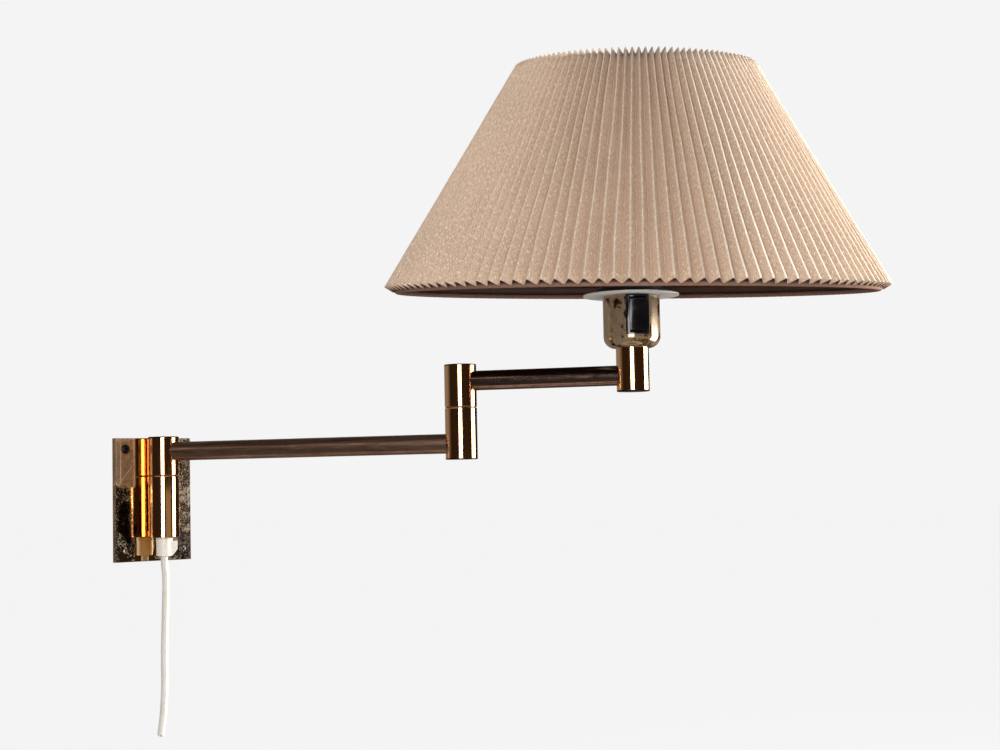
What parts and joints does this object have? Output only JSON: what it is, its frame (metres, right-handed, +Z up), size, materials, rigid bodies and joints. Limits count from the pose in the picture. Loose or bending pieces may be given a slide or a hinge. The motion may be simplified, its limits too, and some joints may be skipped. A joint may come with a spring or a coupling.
{
  "type": "articulating wall light",
  "caption": "Brass swing-arm wall light: wall plate with a pivot barrel, long arm, elbow, short arm and a switched lamp holder under a pleated cone shade.",
  "frame": {"origin": "middle of the wall plate's back face, where it lies on the wall", "axes": "+Z up, +Y into the wall, the lamp reaches out towards -Y; at rest the arms stand as pictured"},
  "size_m": [0.445, 0.5863, 0.5442],
  "materials": {
    "plate_brass": "polished brass under heavy dark patina",
    "barrel_brass": "polished lacquered brass with brown tarnish",
    "tube_brass": "brown tarnished lacquered brass",
    "cup_brass": "spun brass with dull lacquer",
    "contact_brass": "bright pressed brass",
    "zinc_steel": "zinc plated steel",
    "seam_nylon": "brown nylon",
    "white_plastic": "white moulded nylon",
    "cord_sheath": "white PVC sheath",
    "black_plastic": "glossy black moulding",
    "black_bakelite": "black thermoset moulding",
    "white_enamel": "white enamel on steel",
    "carrier_wire": "off-white enamelled wire",
    "shade_fabric": "tan linen laminated on a stiff backing and folded",
    "shade_tape": "pinkish cotton tape"
  },
  "bodies": {
    "wall": {"wall_plate": "plate_brass", "barrel_saddle": "plate_brass", "barrel_screws": "zinc_steel", "wall_barrel": "barrel_brass", "barrel_plug": "barrel_brass", "gland_body": "white_plastic", "gland_clamp_screw": "zinc_steel", "mains_cord": "cord_sheath", "lead_wall": "cord_sheath", "wall_spindle": "zinc_steel", "wall_seam_washer": "seam_nylon", "wall_spring_washer": "zinc_steel", "wall_pivot_nut": "zinc_steel"},
    "long_arm": {"wall_sleeve": "barrel_brass", "wall_sleeve_lid": "barrel_brass", "long_arm_tube": "tube_brass", "lead_long_arm": "cord_sheath", "elbow_lower_sleeve": "barrel_brass", "elbow_lower_lid": "barrel_brass", "elbow_spindle": "zinc_steel", "elbow_seam_washer": "seam_nylon", "elbow_spring_washer": "zinc_steel", "elbow_pivot_nut": "zinc_steel"},
    "short_arm": {"elbow_upper_sleeve": "barrel_brass", "elbow_upper_lid": "barrel_brass", "short_arm_tube": "tube_brass", "lead_short_arm": "cord_sheath", "holder_barrel": "barrel_brass", "holder_barrel_lid": "barrel_brass", "holder_nipple": "zinc_steel", "nipple_nuts": "zinc_steel", "socket_cup": "cup_brass", "holder_insulator": "black_bakelite", "screw_shell": "contact_brass", "centre_contact": "contact_brass", "terminal_blocks": "contact_brass", "switch_housing": "black_plastic", "white_disc": "white_enamel", "lower_shade_ring": "black_bakelite", "upper_shade_ring": "black_bakelite", "shade_carrier": "carrier_wire", "carrier_legs": "carrier_wire", "upper_hoop": "carrier_wire", "lower_hoop": "carrier_wire", "lower_hoop_tape": "shade_tape", "upper_hoop_tape": "shade_tape", "pleated_shade": "shade_fabric"},
    "rocker": {"switch_rocker": "black_plastic"}
  },
  "joints": [
    {"name": "wall_swivel", "type": "hinge", "parent": "wall", "child": "long_arm", "pos_m": [0, -0.022, 0.02], "axis": [0, 0, 1], "range_deg": [-118, 62]},
    {"name": "elbow_swivel", "type": "hinge", "parent": "long_arm", "child": "short_arm", "pos_m": [0.12948, -0.26348, 0.0698], "axis": [0, 0, 1], "range_deg": [-175, 165]},
    {"name": "switch_tilt", "type": "hinge", "parent": "short_arm", "child": "rocker", "pos_m": [0.19622, -0.3984, 0.1381], "axis": [0.8368, -0.5476, 0], "range_deg": [-12, 0]}
  ]
}
